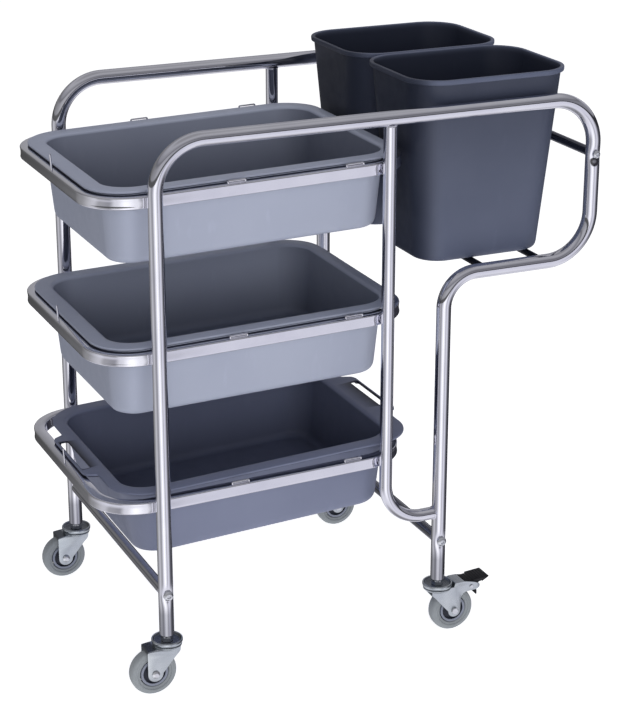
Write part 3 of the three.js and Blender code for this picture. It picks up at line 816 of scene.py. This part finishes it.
BIN_RIM = (0, 148, 117.5, 62)
BIN_MOUTH = (0, 143.5, 112.5, 58)
BIN_BASE = (0, 117, 85, 46)
BIN_WALL = 2.6


def shade_bin(verts, shade, height):
    """Paints shade: darkens the inside, and fades the whole bin towards its left side."""
    for i, v in enumerate(verts):
        half = BIN_BASE[1] + (BIN_MOUTH[1] - BIN_BASE[1]) * v.z / height
        shade[i] *= (1 - 0.7 * smooth_step((-v.x - half + 34) / 34)) * (1.0 if shade[i] > 0.9 else 0.6)


for side in SIDES:
    low, high = box_mm(f"bin_{side}")
    height = high.z - low.z
    under = tuple(a + (b - a) * (1 - 8 / height) for a, b in zip(BIN_BASE, BIN_MOUTH))
    # Shade values below 1 are painted shade: on the outer wall just under the rim, and down the inside.
    levels = [
        (spec(BIN_BASE, -34, 1.2), 0),
        (spec(BIN_BASE, -17, 1.2), 3),
        (spec(BIN_BASE, -14, 0.02), 3),
        (spec(BIN_BASE, 0, 0.02), 11),
        (spec(under, 0, height - 8, 0, 0.7), 2),
        (spec(BIN_RIM, -0.5, height - 8.5), 2),
        (spec(BIN_RIM, -0.02, height - 0.02), 2.4),
        (spec(BIN_MOUTH, -BIN_WALL + 0.6, height - 0.02), 2.0),
        (spec(under, -BIN_WALL, height - 8, 0, 0.3), 3),
        (spec(BIN_BASE, -BIN_WALL, BIN_WALL, 0, 0.05), 11),
        (spec(BIN_BASE, -42, BIN_WALL, 0, 0.05), 0),
    ]
    verts, faces, shade = lofted(soften([level for level, _ in levels], [reach for _, reach in levels]))
    shade_bin(verts, shade, height)
    place = shift((low.x + high.x) / 2, (low.y + high.y) / 2, low.z)
    make(f"bin_shell_{side}", verts, faces, f"bin_{side}", "slate_bin_plastic", BIN_SLATE, [f"bin_{side}"],
         place, shade=shade)

# ------------------------------------------------------------------ casters


def stem_part():
    """A six-sided collar on the cup, under a plain sleeve that goes up into the leg."""
    seat = FORK_TOP + 4.6
    collar = rounded([(0, seat), (10.4, seat), (10.4, LEG_END_Z - 0.6), (0, LEG_END_Z - 0.6)], 0.5,
                     closed=False, steps=3)
    low, high = LEG_END_Z - 2, LEG_END_Z + 30
    sleeve = turned([(0, low), (9.4, low), (9.4, high), (0, high)], 40)
    twist = Matrix.Rotation(math.radians(-20), 4, "Z")
    return merged(moved(spun(collar, 6), twist), sleeve)


def race_part():
    """The dished cup and its kingpin, with a shade value for each vert that paints shade in the cup's hollow.
    """
    seat = FORK_TOP + 0.3
    segments = 72
    profile = rounded([
        (0, seat - 8.6), (7.0, seat - 8.6), (7.4, seat - 5.8), (4.6, seat - 5.7), (4.6, seat),
        (22.5, seat), (25.2, seat + 1.2), (26.48, seat + 4.2), (26.48, seat + 7.6), (25.4, seat + 8.98),
        (24.0, seat + 8.5), (23.2, seat + 6.4), (21.4, seat + 4.4), (18.0, seat + 3.9), (0, seat + 3.9),
    ], 0.9, closed=False, steps=3)
    shade = []
    for p in profile:
        # Painted shade in the cup's hollow.
        sunk = p.y > seat + 3 and p.x < 23.6
        shade += [0.3 if sunk else 1.0] * (segments if p.x > 1e-6 else 1)
    return *spun(profile, segments), shade


def cheek_part(braked, side):
    """A pressed cheek: flat round the axle, and turned out to meet the round crown at the top."""
    top = FORK_TOP - 1.2
    foot = 12 if braked else 13.5
    arc = [(TRAIL + foot * math.cos(a), WHEEL_R + foot * math.sin(a))
           for a in (math.pi * (1 + k / 12) for k in range(13))]
    if braked:
        upper = [(TRAIL + foot + 1, 66), (47, 72.5), (70, 73.4), (77, 77), (76.6, 84), (66, 89),
                 (46, HOUSING_TOP - 0.1), (28, HOUSING_TOP - 0.1), (25.6, top)]
        bends = [8, 6, 6, 4, 4, 8, 6, 1, 1]
    else:
        upper = [(TRAIL + foot, FORK_TOP - 5), (22, top)]
        bends = [1.5, 5]
    points = [(-18, top), (-18, top - 8)] + arc + upper
    flat = rounded([Vector(p) for p in points], [1, 6] + [0] * 13 + bends, steps=5)
    dense = []
    for a, b in zip(flat, flat[1:] + flat[:1]):
        count = max(1, round((b - a).length / 3.0))
        dense += [a.lerp(b, k / count) for k in range(count)]
    verts, faces = slab(dense, 2.4)
    out = []
    for v in verts:
        flare = smooth_step((v.z - 66) / 18)
        crown_y = math.sqrt(max(0.0, 24.9 ** 2 - v.x ** 2)) - 2.4
        y = 14.25 + v.y + flare * max(0.0, crown_y - 14.25)
        out.append(Vector((v.x, side * y, v.z)))
    return out, faces


def sheet(outer, half, thick=2.2):
    """A bent strip from (x, z) points along its outer side, drawn in by thick, across the fork."""
    rows = []
    for i, p in enumerate(outer):
        along = (outer[min(i + 1, len(outer) - 1)] - outer[max(i - 1, 0)]).normalized()
        q = p - Vector((-along.y, along.x)) * thick
        rows.append([Vector((p.x, -half, p.y)), Vector((p.x, half, p.y)),
                     Vector((q.x, half, q.y)), Vector((q.x, -half, q.y))])
    verts = [v for row in rows for v in row]
    faces = [(0, 1, 2, 3), tuple(4 * (len(rows) - 1) + k for k in (3, 2, 1, 0))]
    for b in range(len(rows) - 1):
        for k in range(4):
            j = (k + 1) % 4
            faces.append((4 * b + k, 4 * b + j, 4 * b + 4 + j, 4 * b + 4 + k))
    return verts, faces


def crown_part(braked):
    """The fork's round top, with a housing over the lever or a tab bent down behind the wheel."""
    low, high = FORK_TOP - 4.8, FORK_TOP - 0.05
    plate = rounded([(0, low), (22.0, low), (24.98, FORK_TOP - 2.6), (24.98, high), (0, high)], 1.4,
                    closed=False, steps=4)
    disc = spun(plate, 64)
    top = FORK_TOP - 1.0
    if braked:
        bent = rounded([(27.9, FORK_TOP - 3), (27.9, HOUSING_TOP - 0.05), (46, HOUSING_TOP - 0.05)], 3.0,
                       closed=False, steps=5)
    else:
        bent = rounded([(0, top), (22, top), (40.4, FORK_TOP - 2.8), (40.4, FORK_TOP - 7.5)], [0, 8, 2.5, 0],
                       closed=False, steps=5)
    return merged(disc, sheet([Vector(p) for p in reversed(bent)], 16.4, -2.2))


def cross_bolt(radius, head_r, head, reach):
    """A bolt along Y: a round head at the near end and a six-sided nut at the far end."""
    shank = turned([(0, -reach), (radius, -reach), (radius, reach), (0, reach)], 24)
    dome = rounded([(0, head), (head_r * 0.55, head * 0.92), (head_r, head * 0.45), (head_r, 0), (0, 0)], 0.5,
                   closed=False, steps=4)
    cap = spun(dome, 32)
    flats = head_r * 0.98
    nut = turned([(0, 0), (flats, 0), (flats, head * 0.8), (head_r * 0.85, head), (0, head)], 6)
    down = Matrix.Rotation(math.pi, 4, "X")
    whole = merged(shank, moved(cap, shift(0, 0, reach)), moved(nut, down @ shift(0, 0, reach)))
    return moved(whole, ALONG_Y)


def tyre_part():
    """A tyre with a raised ring on each side and rounded shoulders."""
    half, seat = 12.0, 25.0
    side = [(seat, half - 3.6), (seat + 1.2, half - 2.0), (29.6, half - 1.7), (30.4, half - 0.1),
            (33.2, half - 0.02), (34.0, half - 1.0), (35.2, half - 1.0), (38.0, half - 2.2),
            (39.3, half - 4.2), (WHEEL_R - 0.02, half - 7)]
    other = [(r, -h) for r, h in reversed(side)]
    profile = rounded(side + other, 0.8, steps=3)
    return moved(spun(profile, 80), ALONG_Y)


def hub_part():
    """Wheel centre: a pale rim round a deep recess with a boss, and a shade value for each vert that paints
    shade in the recess.
    """
    half = 10.5
    segments = 56
    side = [(4.4, half + 2), (8.8, half + 2), (9.0, half - 5.4), (18.9, half - 6.0), (19.4, half - 1.2),
            (20.2, half - 0.2), (23.8, half - 0.2), (24.0, half - 2)]
    other = [(r, -h) for r, h in reversed(side)]
    profile = rounded(side + other, 0.5, steps=3)
    # Painted shade in the recess round the boss.
    shade = [0.08 if 8.0 < p.x < 19.7 else 1.0 for p in profile for _ in range(segments)]
    verts, faces = moved(spun(profile, segments), ALONG_Y)
    return verts, faces, shade


def pedal_part():
    """Brake lever: a ribbed tread, wider beyond the fork, with a boss on the pin and a shoe under it."""
    x, z = PEDAL_X, PEDAL_Z
    points = [(x - 11.8, z + 12), (x - 10, z + 8), (x - 7, z - 2), (x - 1, z - 6), (x + 6, z - 8),
              (x + 8, z - 15), (x + 12.5, z - 20.5), (x + 13.5, z - 14), (x + 11, z - 3),
              (x + 17, z + 4.5), (x + 26, z + 7.5), (x + 26, z + 14.3)]
    lever = slab(rounded([Vector(p) for p in points], [1, 3, 4, 4, 3, 2, 1, 4, 4, 3, 1, 1], steps=4), 26.0)
    wide = [(x + 3, z + 10.8), (x + 18, z + 9.6), (x + 21, z + 6.4), (x + 33.9, z + 13.6), (x + 33.9, z + 15),
            (x + 32.9, z + 15), (x + 3, z + 12.9)]
    tip = slab(rounded([Vector(p) for p in wide], [0.5, 1, 1, 1, 0.5, 0.5, 0.5], steps=4), 35.8)
    ribs = []
    slope = math.atan2(-3, 45)
    for k in range(8):
        t = 0.1 + 0.11 * k
        reach = 16.4 if t > 0.34 else 11.4
        spot = Vector((x - 12 + 46 * t, 0, z + 11.9 + 3.0 * t))
        rib = bar(0, 0, reach, 0.8, 10, end_round=0.4)
        ribs.append(moved(rib, shift(*spot) @ Matrix.Rotation(slope, 4, "Y")))
    return merged(moved(lever, shift(0, -13, 0)), moved(tip, shift(0, -17.9, 0)), *ribs)


def fork_shade(v, braked):
    """The bent tab behind an unbraked fork is in the shade of its crown."""
    return 0.22 if not braked and abs(v.y) < 16.45 and v.x > 24 and v.z > FORK_TOP - 8 else 1.0


for corner, (x, y, facing) in CORNERS.items():
    braked = facing > 0
    place = shift(x, y, 0) @ Matrix.Rotation(0 if braked else math.pi, 4, "Z")
    axle = place @ shift(TRAIL, 0, WHEEL_R)
    swivel, wheel = f"swivel_{corner}", f"wheel_{corner}"
    make(f"stem_pin_{corner}", *stem_part(), "frame", "zinc_caster", FASTENER, [f"stem_{corner}"], place)
    verts, faces, shade = race_part()
    make(f"race_cup_{corner}", verts, faces, "frame", "zinc_caster", ZINC, [f"swivel_race_{corner}"], place,
         shade=shade)
    body = merged(crown_part(braked), cheek_part(braked, 1), cheek_part(braked, -1))
    shade = [fork_shade(v, braked) for v in body[0]]
    make(f"fork_body_{corner}", *body, swivel, "zinc_caster", ZINC, [f"fork_{corner}"], place, shade=shade)
    make(f"axle_bolt_{corner}", *cross_bolt(4.0, 6.8, 3.4, 16.9), swivel, "zinc_fastener", FASTENER,
         [f"axle_{corner}"], axle)
    verts, faces, shade = hub_part()
    make(f"hub_disc_{corner}", verts, faces, wheel, "grey_hub_plastic", HUB, [f"hub_{corner}"], axle,
         shade=shade)
    make(f"tyre_ring_{corner}", *tyre_part(), wheel, "grey_rubber", RUBBER, [f"tyre_{corner}"], axle)
    if braked:
        make(f"pedal_{corner}", *pedal_part(), f"brake_{corner}", "black_plastic", BLACK,
             [f"brake_pedal_{corner}"], place)
        make(f"pedal_pin_{corner}", *cross_bolt(2.5, 3.9, 1.4, 16.9), swivel, "zinc_fastener", FASTENER,
             [f"brake_pin_{corner}"], place @ shift(PEDAL_X, 0, PEDAL_Z))

# ------------------------------------------------------------------ stage, light and camera

floor_mesh = bpy.data.meshes.new("floor")
floor_mesh.from_pydata([(-40, -40, 0), (40, -40, 0), (40, 40, 0), (-40, 40, 0)], [], [(0, 1, 2, 3)])
floor = bpy.data.objects.new("floor", floor_mesh)
bpy.context.scene.collection.objects.link(floor)
floor_look = Looks("floor")
floor_look.wire(Base_Color=floor_look.blend(floor_look.noise(2.0), (0.86, 0.86, 0.87, 1), (0.9, 0.9, 0.9, 1)))
floor_look.fix(Roughness=0.9, Specular_IOR_Level=0.0, Emission_Color=(1, 1, 1, 1), Emission_Strength=0.74)
floor_mesh.materials.append(floor_look.material)
floor.visible_glossy = False


def area(name, place, target, size, size_y, power):
    """A soft lamp that lights surfaces but is not mirrored in them."""
    data = bpy.data.lights.new(name, "AREA")
    data.shape = "RECTANGLE"
    data.size, data.size_y, data.energy = size, size_y, power
    lamp = bpy.data.objects.new(name, data)
    bpy.context.scene.collection.objects.link(lamp)
    lamp.location = place
    lamp.rotation_euler = (Vector(target) - Vector(place)).to_track_quat("-Z", "Y").to_euler()
    lamp.visible_glossy = False


area("key", (-0.9, -3.6, 1.6), (0, 0, 0.5), 2.4, 1.6, 42)
area("top", (0.2, -0.4, 3.6), (0, 0, 0.0), 3.0, 3.0, 26)

# The studio round the object, mirrored in the chrome: bright in front, darker at the sides and behind.
world = bpy.data.worlds.new("studio")
bpy.context.scene.world = world
world.use_nodes = True
tree = world.node_tree
direction = tree.nodes.new("ShaderNodeTexCoord").outputs["Generated"]


def dot(vector):
    node = tree.nodes.new("ShaderNodeVectorMath")
    node.operation = "DOT_PRODUCT"
    tree.links.new(direction, node.inputs[0])
    node.inputs[1].default_value = vector
    return node.outputs["Value"]


def maths(operation, *inputs):
    node = tree.nodes.new("ShaderNodeMath")
    node.operation = operation
    for socket, value in zip(node.inputs, inputs):
        if isinstance(value, bpy.types.NodeSocket):
            tree.links.new(value, socket)
        else:
            socket.default_value = value
    return node.outputs["Value"]


def ramp(source, stops):
    """Stops are (position, brightness, blue tint); the colours run smoothly between them."""
    node = tree.nodes.new("ShaderNodeValToRGB")
    node.color_ramp.interpolation = "EASE"
    elements = node.color_ramp.elements
    while len(elements) < len(stops):
        elements.new(0.5)
    for element, (position, value, tint) in zip(elements, stops):
        element.position = position
        element.color = (value, value, value * tint, 1)
    tree.links.new(source, node.inputs["Fac"])
    return node.outputs["Color"]


def mix(factor, first, second):
    node = tree.nodes.new("ShaderNodeMix")
    node.data_type = "RGBA"
    tree.links.new(factor, node.inputs["Factor"])
    for key, value in (("A_Color", first), ("B_Color", second)):
        tree.links.new(value, next(s for s in node.inputs if s.identifier == key))
    return next(s for s in node.outputs if s.identifier == "Result_Color")


FRONT = (-0.411, -0.911, 0.0)
RIGHT = (0.911, -0.411, 0.0)
turn = maths("ADD", maths("DIVIDE", maths("ARCTAN2", dot(RIGHT), dot(FRONT)), 2 * math.pi), 0.5)


def around(*stops):
    """Stops by the angle to the right of the front, in degrees from -180 to 180."""
    return ramp(turn, [(angle / 360 + 0.5, value, tint) for angle, value, tint in stops])


# What stands round the object below eye level, which upright tubes mirror, and above it.
LOW = around((-180, 0.05, 1), (-150, 0.07, 1), (-112, 0.3, 1.02), (-72, 0.62, 1.05), (-58, 0.4, 1.05),
             (-36, 0.34, 1.08), (-22, 0.78, 1.06), (0, 1.25, 1.03), (24, 0.95, 1.05), (34, 0.42, 1.1),
             (44, 0.72, 1.12), (62, 0.76, 1.1), (74, 0.4, 1.1), (92, 0.07, 1.2), (150, 0.03, 1.3),
             (180, 0.05, 1.1))
HIGH = around((-180, 0.42, 1.08), (-166, 0.34, 1.04), (-150, 0.28, 1), (-115, 0.2, 1), (-60, 0.3, 1.05),
              (0, 0.45, 1.05), (50, 0.2, 1.1), (100, 0.25, 1.1), (150, 0.5, 1.1), (180, 0.42, 1.08))
height = maths("ADD", maths("MULTIPLY", dot((0, 0, 1)), 0.5), 0.5)
OVERHEAD = ramp(height, [(0.5, 0.1, 1.1), (0.72, 0.14, 1.1), (0.8, 0.3, 1.08), (0.92, 0.42, 1.05),
                         (1.0, 0.3, 1.05)])
UNDER = ramp(height, [(0.0, 0.25, 1.05), (0.1, 0.8, 1.08), (0.3, 0.9, 1.1)])


def step(low, high):
    """0 below one share of the height and 1 above the other, smooth between them."""
    node = tree.nodes.new("ShaderNodeMapRange")
    node.interpolation_type = "SMOOTHSTEP"
    node.inputs["From Min"].default_value = low
    node.inputs["From Max"].default_value = high
    tree.links.new(height, node.inputs["Value"])
    return node.outputs["Result"]


horizon = ramp(turn, [(0.0, 0.04, 1), (0.3, 0.1, 1), (0.5, 0.1, 1), (0.6, 0.03, 1.2), (1.0, 0.03, 1.2)])
sky = mix(step(0.68, 0.76), HIGH, OVERHEAD)
ground = mix(step(0.12, 0.3), UNDER, LOW)
studio = mix(step(0.46, 0.475), ground, mix(step(0.53, 0.56), horizon, sky))
tree.links.new(studio, tree.nodes["Background"].inputs["Color"])
tree.nodes["Background"].inputs["Strength"].default_value = 1.0

CAMERA_AZIMUTH = math.radians(-24.29)
CAMERA_ELEVATION = math.radians(20.16)
CAMERA_PLACE = Vector((-1.3714, -3.0813, 1.698))
camera_data = bpy.data.cameras.new("camera")
camera_data.sensor_width = 36
camera_data.lens = 102.03
camera = bpy.data.objects.new("camera", camera_data)
bpy.context.scene.collection.objects.link(camera)
camera.location = CAMERA_PLACE
back = Vector((math.sin(CAMERA_AZIMUTH) * math.cos(CAMERA_ELEVATION),
               -math.cos(CAMERA_AZIMUTH) * math.cos(CAMERA_ELEVATION), math.sin(CAMERA_ELEVATION)))
camera.rotation_euler = (-back).to_track_quat("-Z", "Y").to_euler()
bpy.context.scene.camera = camera
bpy.context.scene.view_settings.view_transform = "Standard"
